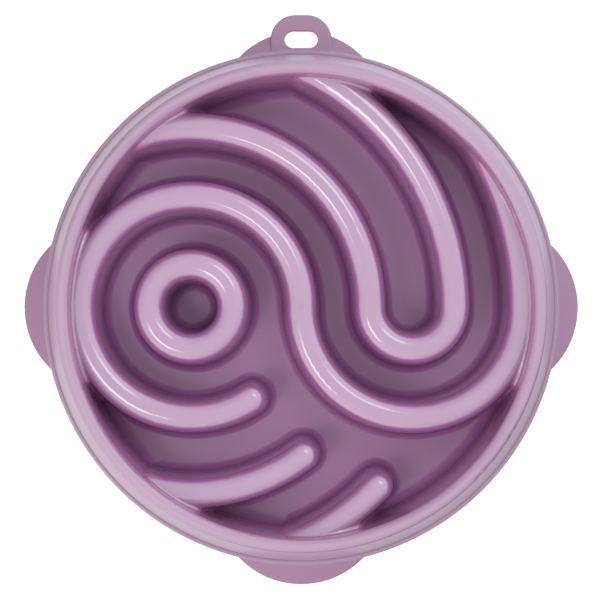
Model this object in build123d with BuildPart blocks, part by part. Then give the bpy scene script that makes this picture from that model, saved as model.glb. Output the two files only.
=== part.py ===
from build123d import *

import os
from math import acos, cos, degrees, radians, tan

# Slow feeder bowl: one moulded bowl with a maze of ridges, on four non-slip foot pads.
# It is drawn about the bowl's axis, and handed in about the middle of its outline, at the
# surface that the pads stand on.
# +Z is up, and +Y points to the hanging loop. Lengths are millimetres, angles degrees.

# Moulding
wall = 2.5
draft = 3.5
stand_off = 1.2
bowl_height = 58.8
floor_rise = 5.8
floor_radius = 7.0

# Rim, skirt and base flange
wall_radius = 116.0
roll_width = 6.3
roll_inner_radius = 3.6
roll_outer_radius = 3.0
skirt_flare = 10.3
flange_width = 2.3
flange_height = 8.0
flange_edge_radius = 1.0

# Ridges
ridge_drop = 10.0
ridge_width = 14.4
shoulder_radius = 6.5
foot_radius = 5.0
crease_radius = 1.5
hook_inset = 4.2
wave_inset = 3.5
turn_radius = 21.45
ring_radius = 21.3
lower_gap = 38.5
short_gap = 37.0
hook_end = -57.0
lower_end = -53.0
short_tip_gap = 16.9
run_out_angle = 150.0

# Foot lobes
lobe_count = 4
lobe_radius = 44.0
lobe_overhang = 10.6
lobe_edge_height = 2.5
lobe_slope = 22.0
lobe_edge_radius = 1.2

# Foot pads and their stems
pad_height = 3.5
pad_clearance = 0.3
pad_width = 13.0
pad_corner_radius = 2.5
pad_edge_radius = 0.8
stem_diameter = 5.0
stem_length = 5.0
stem_spacing = 36.0
stem_clearance = 0.05
socket_wall = 2.0
socket_spare = 0.5

# Hanging loop
loop_width = 32.0
loop_overhang = 18.4
loop_corner_radius = 13.0
loop_thickness = 4.0
loop_edge_radius = 1.0
slot_length = 17.5
slot_width = 9.1
slot_gap = 1.0

# Mark of the moulding gate on the middle ridge
gate_diameter = 2.4
gate_depth = 0.3

# Overlaps that keep joined shapes from meeting at a bare edge
foot_sink = 0.15
crease_sink = 0.1
root = 1.0
core_run_out = 10.0

# Levels
floor_top = stand_off + floor_rise
rim_top = stand_off + bowl_height
ridge_top = rim_top - ridge_drop
flange_top = stand_off + flange_height
lobe_edge_top = stand_off + lobe_edge_height
lobe_rise = tan(radians(lobe_slope))
loop_top = lobe_edge_top + lobe_overhang * lobe_rise

# Radii of the rim, the skirt and the base
rim_inside = wall_radius + ridge_drop * tan(radians(draft))
skirt_top_radius = rim_inside + roll_width
skirt_foot_radius = skirt_top_radius + (rim_top - flange_top) * tan(radians(skirt_flare))
flange_reach = skirt_foot_radius + flange_width
lobe_reach = flange_reach + lobe_overhang
lobe_offset = lobe_reach - lobe_radius
loop_reach = flange_reach + loop_overhang
slot_middle = flange_reach + slot_gap + slot_width / 2

# Pads and sockets
pad_outside = flange_reach + slot_gap - wall - pad_clearance
pad_inside = pad_outside - pad_width
socket_diameter = stem_diameter + 2 * stem_clearance
socket_depth = stem_length + socket_spare
stem_radius = (pad_inside + pad_outside) / 2
stem_places = [(stem_radius, -stem_spacing / 2), (stem_radius, stem_spacing / 2)]

# Ridge layout: arcs about the ring's centre, and turns about a second centre opposite.
# The hook and the wave fill the bowl's width, and meet on its axis.
hook_radius = (wall_radius - hook_inset) / 2
wave_radius = (wall_radius - wave_inset) / 2
hub = Vector(-hook_radius, 0, 0)
turn_centre = Vector(wave_radius, 0, 0)
inner_limb_radius = hook_radius + wave_radius - turn_radius
outer_limb_radius = hook_radius + wave_radius + turn_radius
wave_limb_radius = hook_radius + 2 * wave_radius
lower_radius = hook_radius + lower_gap
short_radius = lower_radius + short_gap


def draft_run(rise):
    """How far a drafted wall leans over a rise."""
    return rise * tan(radians(draft))


def wall_radius_at(level):
    """Radius of the bowl's inner wall at a level."""
    return wall_radius + draft_run(level - ridge_top)


def skirt_radius_at(level):
    """Radius of the skirt's outside at a level."""
    return skirt_top_radius + (rim_top - level) * tan(radians(skirt_flare))


def hub_angle(radius, reach):
    """Angle at which an arc about the ring's centre lies at a distance from the bowl's axis."""
    return degrees(acos((hook_radius**2 + radius**2 - reach**2) / (2 * hook_radius * radius)))


def corner(sketch, x, y):
    """The corner of a sketch that is nearest to a point."""
    return sketch.vertices().sort_by_distance((x, y))[0]


def ridge_section(plane, inset, whole, footed):
    """Cross-section of a ridge, or its outer half, on an upright plane; an inset gives its hollow."""
    top = ridge_top - inset
    base = floor_top - inset - foot_sink
    bottom = base - root
    half_top = ridge_width / 2 + draft_run(inset) - inset / cos(radians(draft))
    half_base = half_top + draft_run(top - base)
    toe = half_base + foot_radius + inset
    foot = [(half_top + draft_run(top - bottom), bottom)]
    if footed:
        foot = [(toe, bottom), (toe, base), (half_base, base)]
    with BuildSketch(plane) as section:
        with BuildLine():
            Polyline((0, bottom), *foot, (half_top, top), (0, top), close=True)
        make_face()
        fillet(corner(section, half_top, top), shoulder_radius - inset)
        if footed:
            fillet(corner(section, half_base, base), foot_radius + inset)
        if whole:
            mirror(about=Plane.YZ)
    return section.sketch


def ridge_plane(centre, radius, angle):
    """Upright plane across a ridge, where its arc is at an angle."""
    outward = Vector(1, 0, 0).rotate(Axis.Z, angle)
    return Plane(centre + outward * radius, x_dir=outward, z_dir=outward.cross(Vector(0, 0, 1)))


def ridge_run(centre, radius, start, turn, inset, footed):
    """A stretch of ridge round an arc."""
    section = ridge_section(ridge_plane(centre, radius, start), inset, whole=True, footed=footed)
    revolve(section, axis=Axis(centre, (0, 0, 1)), revolution_arc=turn)


def ridge_end(centre, radius, angle, inset, footed):
    """The rounded free end of a ridge."""
    plane = ridge_plane(centre, radius, angle)
    section = ridge_section(plane, inset, whole=False, footed=footed)
    revolve(section, axis=Axis(plane.origin, (0, 0, 1)), revolution_arc=180)


def ridge_maze(inset, footed=True):
    """All the ridges, trimmed to end inside the rim; an inset gives their hollows."""
    trim_radius = (wall_radius + inset + skirt_top_radius) / 2
    with BuildPart() as maze:
        # Ring
        ridge_run(hub, ring_radius, 0, 360, inset, footed)
        # Hook round the ring, running on into the wave and up the right wall
        ridge_end(hub, hook_radius, hook_end, inset, footed)
        ridge_run(hub, hook_radius, 0, 360 + hook_end, inset, footed)
        ridge_run(turn_centre, wave_radius, 180, 180, inset, footed)
        ridge_run(hub, wave_limb_radius, 0, run_out_angle, inset, footed)
        # Two limbs joined by a turn
        ridge_run(hub, inner_limb_radius, 0, run_out_angle, inset, footed)
        ridge_run(turn_centre, turn_radius, 180, 180, inset, footed)
        ridge_run(hub, outer_limb_radius, 0, run_out_angle, inset, footed)
        # Lower ridge
        ridge_run(hub, lower_radius, -run_out_angle, run_out_angle + lower_end, inset, footed)
        ridge_end(hub, lower_radius, lower_end, inset, footed)
        # Short ridge
        short_end = -hub_angle(short_radius, wall_radius - short_tip_gap)
        ridge_run(hub, short_radius, -run_out_angle, run_out_angle + short_end, inset, footed)
        ridge_end(hub, short_radius, short_end, inset, footed)
        with BuildSketch():
            Circle(trim_radius)
        extrude(amount=rim_top, mode=Mode.INTERSECT)
    return maze.part


def foot_lobe(inset):
    """One foot lobe, on the +X side of the bowl; an inset gives its hollow."""
    inside = (wall_radius + skirt_foot_radius) / 2
    outside = lobe_reach + root
    edge_top = lobe_edge_top - inset / cos(radians(lobe_slope))
    bottom = stand_off - (core_run_out if inset else 0)
    with BuildPart() as lobe:
        with BuildSketch(Plane.XZ):
            with BuildLine():
                Polyline(
                    (inside, bottom),
                    (outside, bottom),
                    (outside, edge_top - root * lobe_rise),
                    (inside, edge_top + (lobe_reach - inside) * lobe_rise),
                    close=True,
                )
            make_face()
        revolve(axis=Axis.Z)
        with BuildSketch(Plane.XY.offset(bottom)):
            with Locations((lobe_offset, 0)):
                Circle(lobe_radius - inset)
        extrude(amount=bowl_height, mode=Mode.INTERSECT)
        if not inset:
            brim = lobe.edges().sort_by_distance((lobe_reach, 0, edge_top))[0]
            fillet(brim, lobe_edge_radius)
    return lobe.part


def foot_pad(angle):
    """The non-slip pad under the lobe at an angle, with its two stems."""
    ground = Plane.XY.rotated((0, 0, angle))
    with BuildPart() as pad:
        with BuildSketch(ground) as crescent:
            with Locations((lobe_offset, 0)):
                Circle(lobe_radius - wall - pad_clearance)
            Circle(pad_outside, mode=Mode.INTERSECT)
            Circle(pad_inside, mode=Mode.SUBTRACT)
            fillet(crescent.vertices(), pad_corner_radius)
        extrude(amount=pad_height)
        fillet(pad.edges().group_by(Axis.Z)[0], pad_edge_radius)
        with BuildSketch(ground.offset(pad_height)):
            with Locations(*stem_places):
                Circle(stem_diameter / 2)
        extrude(amount=stem_length)
    return pad


def sockets(diameter, depth):
    """Cuts round pegs, one above each stem, out of the part that is being built."""
    with BuildSketch(Plane.XY.offset(pad_height)) as pegs:
        with PolarLocations(0, lobe_count):
            with Locations(*stem_places):
                Circle(diameter / 2)
    extrude(pegs.sketch, amount=depth, mode=Mode.SUBTRACT)


def slot_cut(border, open_ended):
    """Cuts the loop's slot, with a border round it, out of the part that is being built."""
    with BuildSketch(Plane.XY.offset(stand_off - core_run_out)) as slot:
        with Locations((0, slot_middle)):
            SlotOverall(slot_length + 2 * border, slot_width + 2 * border)
        if open_ended:
            with Locations((0, slot_middle + lobe_overhang / 2)):
                Rectangle(slot_length + 2 * border, lobe_overhang)
    extrude(slot.sketch, amount=bowl_height, mode=Mode.SUBTRACT)


# The wall and the ridges once more, sunk a hair into their own faces, to round the creases between them
with BuildPart() as crease_lining:
    lining_bottom = floor_top - crease_sink - foot_sink - root
    lining_top = rim_top - roll_inner_radius
    with BuildSketch(Plane.XZ):
        with BuildLine():
            Polyline(
                (wall_radius_at(lining_bottom) + crease_sink, lining_bottom),
                (wall_radius_at(lining_top) + crease_sink, lining_top),
                (skirt_top_radius, lining_top),
                (skirt_top_radius, lining_bottom),
                close=True,
            )
        make_face()
    revolve(axis=Axis.Z)
    add(ridge_maze(crease_sink, footed=False))
    lined_wall = crease_lining.faces().filter_by(GeomType.CONE).sort_by(SortBy.AREA)[-1]
    creases = lined_wall.edges().filter_by(GeomType.LINE, reverse=True)
    fillet(creases.filter_by_position(Axis.Z, lining_bottom + root, lining_top - root), crease_radius)

# The bowl's food side and outside, as a solid down to its bottom edge
with BuildPart() as bowl_form:
    wall_foot = wall_radius_at(floor_top)
    with BuildSketch(Plane.XZ) as form_profile:
        with BuildLine():
            Polyline(
                (0, stand_off),
                (0, floor_top),
                (wall_foot, floor_top),
                (rim_inside, rim_top),
                (skirt_top_radius, rim_top),
                (skirt_foot_radius, flange_top),
                (flange_reach, flange_top),
                (flange_reach, stand_off),
                close=True,
            )
        make_face()
        fillet(corner(form_profile, wall_foot, floor_top), floor_radius)
        fillet(corner(form_profile, rim_inside, rim_top), roll_inner_radius)
        fillet(corner(form_profile, skirt_top_radius, rim_top), roll_outer_radius)
        fillet(corner(form_profile, flange_reach, flange_top), flange_edge_radius)
    revolve(axis=Axis.Z)
    add(ridge_maze(0))
    add(crease_lining.part)
    with PolarLocations(0, lobe_count):
        add(foot_lobe(0))

# The hollow under it, less the sockets' walls and the slot's border
with BuildPart() as bowl_core:
    core_floor = floor_top - wall
    core_top = rim_top - wall
    core_shift = wall / cos(radians(draft))
    core_foot = wall_radius_at(core_floor) + core_shift
    skirt_shift = wall / cos(radians(skirt_flare))
    core_bottom = stand_off - core_run_out
    with BuildSketch(Plane.XZ) as core_profile:
        with BuildLine():
            Polyline(
                (0, core_bottom),
                (0, core_floor),
                (core_foot, core_floor),
                (wall_radius_at(core_top) + core_shift, core_top),
                (skirt_radius_at(core_top) - skirt_shift, core_top),
                (skirt_radius_at(stand_off) - skirt_shift, stand_off),
                (skirt_radius_at(stand_off) - skirt_shift, core_bottom),
                close=True,
            )
        make_face()
        fillet(corner(core_profile, core_foot, core_floor), floor_radius + wall)
    revolve(axis=Axis.Z)
    add(ridge_maze(wall))
    with PolarLocations(0, lobe_count):
        add(foot_lobe(wall))
    sockets(socket_diameter + 2 * socket_wall, socket_depth + socket_wall)
    slot_cut(wall, open_ended=True)

# The hanging loop, a flat tab that runs out over the back lobe
with BuildPart() as loop:
    with BuildSketch(Plane.XY.offset(loop_top - loop_thickness)) as tab:
        with BuildLine():
            Polyline(
                (-loop_width / 2, skirt_foot_radius),
                (-loop_width / 2, loop_reach),
                (loop_width / 2, loop_reach),
                (loop_width / 2, skirt_foot_radius),
                close=True,
            )
        make_face()
        fillet(tab.vertices().group_by(Axis.Y)[-1], loop_corner_radius)
    extrude(amount=loop_thickness)
    tab_edges = loop.edges().filter_by(Axis.Z, reverse=True)
    fillet(tab_edges.filter_by(lambda edge: edge.center().Y > skirt_foot_radius + root), loop_edge_radius)

# The bowl in one piece
with BuildPart() as bowl:
    add(bowl_form.part)
    add(bowl_core.part, mode=Mode.SUBTRACT)
    sockets(socket_diameter, socket_depth)
    slot_cut(0, open_ended=True)
    add(loop.part)
    slot_cut(0, open_ended=False)
    with BuildSketch(Plane.XY.offset(ridge_top)):
        Circle(gate_diameter / 2)
    extrude(amount=-gate_depth, mode=Mode.SUBTRACT)

# Hand the pieces in, about the middle of the outline
outline_middle = Location((0, (lobe_reach - loop_reach) / 2, 0))
pad_sides = ("right", "back", "left", "front")
pieces = {"bowl": bowl.part}
for number, side in enumerate(pad_sides):
    pieces[f"foot_pad_{side}"] = foot_pad(number * 360 / lobe_count).part
os.makedirs("parts", exist_ok=True)
for name, piece in pieces.items():
    placed = outline_middle * piece
    placed.label = name
    export_step(placed, f"parts/{name}.step")
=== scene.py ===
import math

import bmesh
import bpy
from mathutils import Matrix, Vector


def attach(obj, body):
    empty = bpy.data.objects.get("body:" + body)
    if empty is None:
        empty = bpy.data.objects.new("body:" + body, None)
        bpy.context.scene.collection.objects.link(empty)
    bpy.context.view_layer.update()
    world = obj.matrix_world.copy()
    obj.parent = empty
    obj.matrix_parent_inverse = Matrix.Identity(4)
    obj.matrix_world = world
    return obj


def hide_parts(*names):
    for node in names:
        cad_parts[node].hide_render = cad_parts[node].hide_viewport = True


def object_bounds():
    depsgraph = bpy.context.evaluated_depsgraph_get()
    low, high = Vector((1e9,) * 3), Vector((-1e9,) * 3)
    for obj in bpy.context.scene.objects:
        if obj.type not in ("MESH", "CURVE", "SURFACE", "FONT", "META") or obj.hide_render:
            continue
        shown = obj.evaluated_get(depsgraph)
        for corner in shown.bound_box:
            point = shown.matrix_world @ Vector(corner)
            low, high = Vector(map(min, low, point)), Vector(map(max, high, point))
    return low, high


# Slow feeder bowl, seen from almost straight above on a white table.
# Lengths are metres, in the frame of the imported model.

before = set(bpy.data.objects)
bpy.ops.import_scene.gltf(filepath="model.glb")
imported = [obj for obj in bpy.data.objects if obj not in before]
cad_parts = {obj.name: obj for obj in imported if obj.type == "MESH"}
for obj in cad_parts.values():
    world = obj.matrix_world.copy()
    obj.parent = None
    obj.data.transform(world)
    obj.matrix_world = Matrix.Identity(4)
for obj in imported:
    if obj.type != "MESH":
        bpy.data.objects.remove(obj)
cad_box = [list(corner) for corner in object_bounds()]
scene = bpy.context.scene
scene.view_settings.view_transform = "Standard"

# The bowl's axis, levels and radii, for the finishes that follow them.
# The front lobe reaches as far from the axis as the lobes at the sides.
BOWL_AXIS_Y = cad_box[0][1] + cad_box[1][0]
RIM_TOP = cad_box[1][2]
RIDGE_DROP = 0.010
RIDGE_TOP = RIM_TOP - RIDGE_DROP
LANE_FLOOR = 0.010
WALL_FOOT = 0.1105
RIM_INSIDE = 0.1182
SKIRT_FOOT = 0.1321
FLANGE_EDGE = 0.1344

# How far one finish, or a painted shade, runs into the next
EDGE_BLEND = 0.0006
WALL_BLEND = 0.0035
LANE_BLEND = 0.020
RIM_START = RIDGE_TOP + 0.002
RIM_FULL = RIM_TOP - 0.003
# Width and strength of the painted shade in the inside corner at the skirt's foot
CREASE_WIDTH = 0.0008
CREASE_SHARE = 0.7

# Slopes between which a finish or a painted shade fades in or out, as the upward part of the surface's
# direction
FLANK_SLOPES = (0.70, 0.88)
CROWN_SLOPES = (0.60, 0.80)
SKIRT_SLOPES = (0.20, 0.30)

# The bowl's joined skin
JOIN_GAP = 0.000002
SHARP_TURN = math.radians(35)

# Colours
LILAC = (0.286, 0.184, 0.285, 1)
LILAC_DEEP = (0.271, 0.166, 0.270, 1)
RIM_LILAC = (0.252, 0.154, 0.243, 1)
RIM_SIDE_LILAC = (0.305, 0.168, 0.278, 1)
# Painted shade: deeper, darker colours on the ridges' flanks and the bowl's wall below the rim
FLANK_SHADE_PURPLE = (0.228, 0.088, 0.206, 1)
WALL_SHADE_PURPLE = (0.305, 0.118, 0.250, 1)
# Painted shade: darker towards the floor of the lanes
LANE_SHADE_PURPLE = (0.262, 0.096, 0.250, 1)
FLANGE_LILAC = (0.245, 0.138, 0.225, 1)
# Painted shade: a thin dark band in the inside corner at the skirt's foot
CREASE_SHADE_PLUM = (0.110, 0.045, 0.095, 1)
LOBE_MAUVE = (0.195, 0.087, 0.172, 1)
PAD_PLUM = (0.10, 0.055, 0.115, 1)
PAD_DUST = (0.15, 0.095, 0.165, 1)
TABLE_WHITE = (0.45, 0.45, 0.45, 1)
GLOW_WHITE = (1, 1, 1, 1)

# Roughness of the polished plastic, and what each place adds to it
POLISHED = 0.09
GRAIN_ROUGHNESS = 0.04
CROWN_ROUGHNESS = 0.30
SKIRT_ROUGHNESS = 0.22
LANE_ROUGHNESS = 0.40
LOBE_ROUGHNESS = 0.30
PLASTIC_IOR = 1.75

# Skin: marks per metre, and the grain's strength and depth
PLASTIC_MOTTLE = 26.0
PLASTIC_GRAIN = 700.0
PLASTIC_BUMP = 0.02
PLASTIC_GRAIN_DEPTH = 0.0001
RUBBER_MOTTLE = 120.0
RUBBER_GRAIN = 2500.0
RUBBER_BUMP = 0.3
RUBBER_GRAIN_DEPTH = 0.0003
MOTTLE_DETAIL = 4.0
GRAIN_DETAIL = 2.0

# Rubber: where its dust shows in the mottling, and how rough its grain is
DUST_RANGE = (0.45, 0.75)
RUBBER_GRAIN_RANGE = (0.3, 0.7)
RUBBER_ROUGHNESS = (0.62, 0.78)

# Table
TABLE_REACH = 4.0
TABLE_ROUGHNESS = 0.8
TABLE_GLOW = 0.70

# Camera, aimed at the level of the ridges
CAMERA_HEIGHT = 1.2
CAMERA_LENS = 137.0
CAMERA_SENSOR = 36.0
CAMERA_SIDE = -0.0006
CAMERA_BACK = 0.0087
AIM_AHEAD = 0.0033

# Lamps
LAMP_DISTANCE = 1.2
COOL_LAMP = (0.96, 0.97, 1.0)
WARM_LAMP = (1.0, 0.97, 0.96)

# Room: the sky above the horizon, the walls below it and the sheet straight below
SKY_STRENGTH = 1.60
SKY_SWING = 2.2
SKY_LEAN = 0.15
ROOM_STRENGTH = 0.75
ROOM_LEAN = -0.45
SHEET_STRENGTH = 0.80
SHEET_LEAN = -0.20
DARKEST = 0.05
HORIZON = (-0.05, 0.10)
SHEET_EDGE = (-0.90, -0.75)
SKY_WARM = (1.0, 0.965, 0.955, 1)
SKY_COOL = (0.95, 0.97, 1.0, 1)
TINT_REACH = 1.4

# Layout of the node trees, to the left of their last nodes
LAYOUT_ROWS = 6
LAYOUT_COLUMNS = 12
LAYOUT_STEP = 220


def place(tree, kind, name, **settings):
    """A named node with its settings, in the next spot of the tree's layout."""
    column, row = divmod(len(tree.nodes), LAYOUT_ROWS)
    node = tree.nodes.new(kind)
    node.name = node.label = name
    node.location = ((column - LAYOUT_COLUMNS) * LAYOUT_STEP, -row * LAYOUT_STEP)
    for key, value in settings.items():
        setattr(node, key, value)
    return node


def ramp(tree, name, value, start, end, from_start=0.0, to_end=1.0):
    """A smooth step of a value, from one output at its start to another at its end."""
    step = place(tree, "ShaderNodeMapRange", name, interpolation_type="SMOOTHSTEP")
    step.inputs["From Min"].default_value = start
    step.inputs["From Max"].default_value = end
    step.inputs["To Min"].default_value = from_start
    step.inputs["To Max"].default_value = to_end
    tree.links.new(value, step.inputs["Value"])
    return step.outputs["Result"]


def mix_colours(tree, name, share, first, second):
    """A blend of two colours, each a socket or a plain colour."""
    mix = place(tree, "ShaderNodeMix", name, data_type="RGBA")
    tree.links.new(share, mix.inputs["Factor"])
    for socket, colour in ((mix.inputs["A"], first), (mix.inputs["B"], second)):
        if isinstance(colour, tuple):
            socket.default_value = colour
        else:
            tree.links.new(colour, socket)
    return mix.outputs["Result"]


def arithmetic(tree, name, operation, *values):
    """One sum of values, each a socket or a number."""
    node = place(tree, "ShaderNodeMath", name, operation=operation)
    for socket, value in zip(node.inputs, values):
        if isinstance(value, (int, float)):
            socket.default_value = value
        else:
            tree.links.new(value, socket)
    return node.outputs["Value"]


def skin_group():
    """Moulded skin: soft mottling and a fine surface grain, at sizes given in marks per metre."""
    group = bpy.data.node_groups.new("moulded_skin", "ShaderNodeTree")
    group.interface.new_socket("Place", in_out="INPUT", socket_type="NodeSocketVector")
    for name in ("Mottle Scale", "Grain Scale"):
        group.interface.new_socket(name, in_out="INPUT", socket_type="NodeSocketFloat")
    for name in ("Mottle", "Grain"):
        group.interface.new_socket(name, in_out="OUTPUT", socket_type="NodeSocketFloat")
    way_in = place(group, "NodeGroupInput", "in")
    way_out = place(group, "NodeGroupOutput", "out")
    for name, detail in (("Mottle", MOTTLE_DETAIL), ("Grain", GRAIN_DETAIL)):
        marks = place(group, "ShaderNodeTexNoise", name.lower())
        marks.inputs["Detail"].default_value = detail
        group.links.new(way_in.outputs["Place"], marks.inputs["Vector"])
        group.links.new(way_in.outputs[f"{name} Scale"], marks.inputs["Scale"])
        group.links.new(marks.outputs["Fac"], way_out.inputs[name])
    return group


def new_finish(name):
    """A material with its shader, and a place vector measured from the bowl's axis."""
    finish = bpy.data.materials.new(name)
    finish.use_nodes = True
    tree = finish.node_tree
    spot = place(tree, "ShaderNodeTexCoord", "spot")
    from_axis = place(tree, "ShaderNodeMapping", "from_axis")
    from_axis.inputs["Location"].default_value = (0, -BOWL_AXIS_Y, 0)
    tree.links.new(spot.outputs["Object"], from_axis.inputs["Vector"])
    return finish, tree, tree.nodes["Principled BSDF"], from_axis.outputs["Vector"]


def moulded_marks(tree, skin, spot, mottle_scale, grain_scale):
    """The skin's mottling and grain in a material, at its own sizes."""
    marks = place(tree, "ShaderNodeGroup", "skin", node_tree=skin)
    marks.inputs["Mottle Scale"].default_value = mottle_scale
    marks.inputs["Grain Scale"].default_value = grain_scale
    tree.links.new(spot, marks.inputs["Place"])
    return marks.outputs["Mottle"], marks.outputs["Grain"]


def grain_bump(tree, shader, grain, strength, depth):
    """Raises a material's grain."""
    bump = place(tree, "ShaderNodeBump", "grain_bump")
    bump.inputs["Strength"].default_value = strength
    bump.inputs["Distance"].default_value = depth
    tree.links.new(grain, bump.inputs["Height"])
    tree.links.new(bump.outputs["Normal"], shader.inputs["Normal"])


def bowl_places(tree, spot):
    """Masks of the bowl's places, from each spot's level, distance from the axis and slope."""
    along = place(tree, "ShaderNodeSeparateXYZ", "along")
    tree.links.new(spot, along.inputs["Vector"])
    level = along.outputs["Z"]
    flat = place(tree, "ShaderNodeVectorMath", "flat", operation="MULTIPLY")
    flat.inputs[1].default_value = (1, 1, 0)
    tree.links.new(spot, flat.inputs[0])
    radius = place(tree, "ShaderNodeVectorMath", "radius", operation="LENGTH")
    tree.links.new(flat.outputs["Vector"], radius.inputs[0])
    reach = radius.outputs["Value"]
    surface = place(tree, "ShaderNodeNewGeometry", "surface")
    direction = place(tree, "ShaderNodeSeparateXYZ", "direction")
    tree.links.new(surface.outputs["Normal"], direction.inputs["Vector"])
    slope = direction.outputs["Z"]

    # By distance from the axis
    inside = ramp(tree, "inside", reach, RIM_INSIDE, RIM_INSIDE + EDGE_BLEND, 1.0, 0.0)
    outside = arithmetic(tree, "outside", "SUBTRACT", 1.0, inside)
    wall = ramp(tree, "wall", reach, WALL_FOOT, WALL_FOOT + WALL_BLEND)
    flange = ramp(tree, "flange", reach, SKIRT_FOOT, SKIRT_FOOT + EDGE_BLEND)
    lobe = ramp(tree, "lobe", reach, FLANGE_EDGE, FLANGE_EDGE + EDGE_BLEND)
    # A thin band round the skirt's foot, where painted shade darkens the inside corner
    past_crease = arithmetic(tree, "past_crease", "SUBTRACT", reach, SKIRT_FOOT)
    beside_crease = arithmetic(tree, "beside_crease", "ABSOLUTE", past_crease)
    crease_shade = ramp(tree, "crease_shade", beside_crease, 0.0, CREASE_WIDTH, CREASE_SHARE, 0.0)

    # By level, and by slope
    rim = ramp(tree, "rim", level, RIM_START, RIM_FULL)
    # Lower in the lanes: painted shade in their colour, and more roughness
    deep = ramp(tree, "deep", level, LANE_FLOOR, LANE_FLOOR + LANE_BLEND, 1.0, 0.0)
    lane_shade_and_wear = arithmetic(tree, "lane_shade_and_wear", "MULTIPLY", deep, inside)
    # Steep faces inside, below the rim: painted shade on the ridges' flanks and the bowl's wall
    steep = ramp(tree, "steep", slope, *FLANK_SLOPES, 1.0, 0.0)
    below_rim = arithmetic(tree, "below_rim", "SUBTRACT", inside, rim)
    flank_shade = arithmetic(tree, "flank_shade", "MULTIPLY", steep, below_rim)
    steep_rim = arithmetic(tree, "steep_rim", "MULTIPLY", steep, rim)
    rim_side = arithmetic(tree, "rim_side", "MULTIPLY", steep_rim, inside)
    level_top = ramp(tree, "level_top", slope, *CROWN_SLOPES)
    crown = arithmetic(tree, "crown", "MULTIPLY", level_top, rim)
    upright = ramp(tree, "upright", slope, *SKIRT_SLOPES, 1.0, 0.0)
    skirt = arithmetic(tree, "skirt", "MULTIPLY", upright, outside)
    return {
        "wall": wall, "flange": flange, "lobe": lobe, "crease_shade": crease_shade, "rim": rim, "lane_shade_and_wear": lane_shade_and_wear,
        "flank_shade": flank_shade, "rim_side": rim_side, "crown": crown, "skirt": skirt,
    }


def bowl_plastic(skin):
    """Glossy lilac plastic with painted shade on the ridges' flanks, in the lanes and at the skirt's
    foot, and a duller skin outside.
    """
    finish, tree, shader, spot = new_finish("bowl_plastic")
    mottle, grain = moulded_marks(tree, skin, spot, PLASTIC_MOTTLE, PLASTIC_GRAIN)
    places = bowl_places(tree, spot)

    # Each place lays a colour over the lilac: a darker lilac on the rim, a pinker one on the rim's inner
    # side, a darker lilac on the flange ring and mauve on the lobes; painted shade darkens the ridges'
    # flanks and the bowl's wall, the lanes and the inside corner at the skirt's foot
    colour = mix_colours(tree, "lilac", mottle, LILAC, LILAC_DEEP)
    flank_shade_tone = mix_colours(tree, "flank_shade_tone", places["wall"], FLANK_SHADE_PURPLE, WALL_SHADE_PURPLE)
    layers = (
        ("rim", RIM_LILAC),
        ("rim_side", RIM_SIDE_LILAC),
        ("flank_shade", flank_shade_tone),
        ("lane_shade_and_wear", LANE_SHADE_PURPLE),
        ("flange", FLANGE_LILAC),
        ("lobe", LOBE_MAUVE),
        ("crease_shade", CREASE_SHADE_PLUM),
    )
    for name, tone in layers:
        colour = mix_colours(tree, f"{name}_colour", places[name], colour, tone)
    tree.links.new(colour, shader.inputs["Base Color"])

    # Polished ridges; dulled by hands along the rim, satin on the skirt, worn in the lanes, matte lobes
    speck = arithmetic(tree, "speck", "MULTIPLY", grain, GRAIN_ROUGHNESS)
    gloss = arithmetic(tree, "polished", "ADD", speck, POLISHED)
    wear = (
        ("crown", CROWN_ROUGHNESS),
        ("skirt", SKIRT_ROUGHNESS),
        ("lane_shade_and_wear", LANE_ROUGHNESS),
        ("lobe", LOBE_ROUGHNESS),
    )
    for name, roughness in wear:
        dulling = arithmetic(tree, f"{name}_dulling", "MULTIPLY", places[name], roughness)
        gloss = arithmetic(tree, f"{name}_gloss", "ADD", gloss, dulling)
    tree.links.new(gloss, shader.inputs["Roughness"])

    grain_bump(tree, shader, grain, PLASTIC_BUMP, PLASTIC_GRAIN_DEPTH)
    shader.inputs["IOR"].default_value = PLASTIC_IOR
    return finish


def pad_rubber(skin):
    """Matte plum rubber with a fine grain and a little dust."""
    finish, tree, shader, spot = new_finish("pad_rubber")
    mottle, grain = moulded_marks(tree, skin, spot, RUBBER_MOTTLE, RUBBER_GRAIN)
    dust = ramp(tree, "dust", mottle, *DUST_RANGE)
    colour = mix_colours(tree, "plum", dust, PAD_PLUM, PAD_DUST)
    tree.links.new(colour, shader.inputs["Base Color"])
    gloss = ramp(tree, "gloss", grain, *RUBBER_GRAIN_RANGE, *RUBBER_ROUGHNESS)
    tree.links.new(gloss, shader.inputs["Roughness"])
    grain_bump(tree, shader, grain, RUBBER_BUMP, RUBBER_GRAIN_DEPTH)
    return finish


def dress(node, finish):
    """Gives a CAD node its finish."""
    node.data.materials.clear()
    node.data.materials.append(finish)


def bowl_body(node, finish):
    """The bowl's surface joined into one skin, so that highlights run over its rounds unbroken."""
    shape = bmesh.new()
    shape.from_mesh(node.data)
    bmesh.ops.remove_doubles(shape, verts=shape.verts, dist=JOIN_GAP)
    for face in shape.faces:
        face.smooth = True
    for edge in shape.edges:
        edge.smooth = edge.calc_face_angle(0.0) < SHARP_TURN
    mesh = bpy.data.meshes.new("bowl_body")
    shape.to_mesh(mesh)
    shape.free()
    mesh.materials.append(finish)
    body = bpy.data.objects.new("bowl_body", mesh)
    scene.collection.objects.link(body)
    even = body.modifiers.new("even_light", "WEIGHTED_NORMAL")
    even.mode = "FACE_AREA"
    even.keep_sharp = True
    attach(body, "root")
    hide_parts("bowl")


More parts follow.
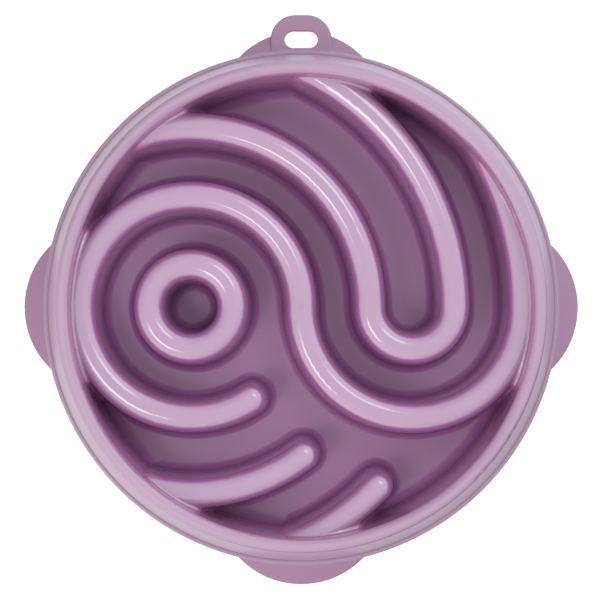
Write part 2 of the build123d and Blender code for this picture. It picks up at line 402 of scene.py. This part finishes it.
def table_top():
    """A wide white table under the bowl, left out of the reflections, which show the room instead."""
    shape = bmesh.new()
    bmesh.ops.create_grid(shape, x_segments=1, y_segments=1, size=TABLE_REACH)
    mesh = bpy.data.meshes.new("table_top")
    shape.to_mesh(mesh)
    shape.free()
    white = bpy.data.materials.new("table_white")
    white.use_nodes = True
    shader = white.node_tree.nodes["Principled BSDF"]
    shader.inputs["Base Color"].default_value = TABLE_WHITE
    shader.inputs["Roughness"].default_value = TABLE_ROUGHNESS
    shader.inputs["Emission Color"].default_value = GLOW_WHITE
    shader.inputs["Emission Strength"].default_value = TABLE_GLOW
    mesh.materials.append(white)
    table = bpy.data.objects.new("table_top", mesh)
    scene.collection.objects.link(table)
    table.visible_glossy = False


def softbox(name, azimuth, slant, size, power, tint):
    """A square studio lamp that points at the bowl; azimuth from +X, slant from the vertical."""
    lamp = bpy.data.lights.new(name, "AREA")
    lamp.shape = "SQUARE"
    lamp.size = size
    lamp.energy = power
    lamp.color = tint
    box = bpy.data.objects.new(name, lamp)
    turn = math.radians(azimuth)
    lean = math.radians(slant)
    away = Vector((math.cos(turn) * math.sin(lean), math.sin(turn) * math.sin(lean), math.cos(lean)))
    box.location = Vector((0, BOWL_AXIS_Y, RIDGE_TOP)) + away * LAMP_DISTANCE
    box.rotation_euler = away.to_track_quat("Z", "Y").to_euler()
    scene.collection.objects.link(box)


def room():
    """A white room: bright towards the two lamps, dark in the other two corners, a sheet below."""
    world = bpy.data.worlds.new("studio")
    world.use_nodes = True
    tree = world.node_tree
    way = place(tree, "ShaderNodeTexCoord", "way")
    axes = place(tree, "ShaderNodeSeparateXYZ", "axes")
    tree.links.new(way.outputs["Generated"], axes.inputs["Vector"])
    right, back, up = axes.outputs
    corner = arithmetic(tree, "corner", "MULTIPLY", right, back)
    across = arithmetic(tree, "across", "SUBTRACT", right, back)
    side = arithmetic(tree, "side", "ADD", right, back)

    # The sky and the walls
    level = ramp(tree, "level", up, *HORIZON, ROOM_STRENGTH, SKY_STRENGTH)
    swing = arithmetic(tree, "swing", "MULTIPLY", corner, SKY_SWING)
    tilt = ramp(tree, "tilt", up, *HORIZON, ROOM_LEAN, SKY_LEAN)
    lean = arithmetic(tree, "lean", "MULTIPLY", across, tilt)
    swung = arithmetic(tree, "swung", "ADD", level, swing)
    leaning = arithmetic(tree, "leaning", "ADD", swung, lean)
    lit = arithmetic(tree, "lit", "MAXIMUM", leaning, DARKEST)

    # The sheet below
    sheet_lean = arithmetic(tree, "sheet_lean", "MULTIPLY", across, SHEET_LEAN)
    sheet = arithmetic(tree, "sheet", "ADD", sheet_lean, SHEET_STRENGTH)
    below = ramp(tree, "below", up, *SHEET_EDGE, 1.0, 0.0)
    sheet_gap = arithmetic(tree, "sheet_gap", "SUBTRACT", sheet, lit)
    sheet_share = arithmetic(tree, "sheet_share", "MULTIPLY", sheet_gap, below)
    strength = arithmetic(tree, "strength", "ADD", lit, sheet_share)

    cool = ramp(tree, "warm_to_cool", side, -TINT_REACH, TINT_REACH)
    tint = mix_colours(tree, "tint", cool, SKY_WARM, SKY_COOL)
    glow = tree.nodes["Background"]
    tree.links.new(tint, glow.inputs["Color"])
    tree.links.new(strength, glow.inputs["Strength"])
    scene.world = world


def camera():
    """A long lens, almost straight above the bowl, with the loop at the top of the picture."""
    lens = bpy.data.cameras.new("camera")
    lens.lens = CAMERA_LENS
    lens.sensor_width = CAMERA_SENSOR
    eye = bpy.data.objects.new("camera", lens)
    eye.location = (CAMERA_SIDE, BOWL_AXIS_Y - CAMERA_BACK, CAMERA_HEIGHT)
    lean = math.atan2(CAMERA_BACK + AIM_AHEAD, CAMERA_HEIGHT - RIDGE_TOP)
    eye.rotation_euler = (lean, 0, 0)
    scene.collection.objects.link(eye)
    scene.camera = eye


skin = skin_group()
plastic = bowl_plastic(skin)
rubber = pad_rubber(skin)
for name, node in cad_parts.items():
    if name.startswith("foot_pad"):
        dress(node, rubber)
bowl_body(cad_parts["bowl"], plastic)
table_top()
room()
softbox("key", azimuth=50, slant=30, size=0.40, power=1.7, tint=COOL_LAMP)
softbox("fill", azimuth=218, slant=23, size=0.30, power=1.5, tint=WARM_LAMP)
softbox("fill_core", azimuth=218, slant=23, size=0.13, power=0.8, tint=WARM_LAMP)
camera()
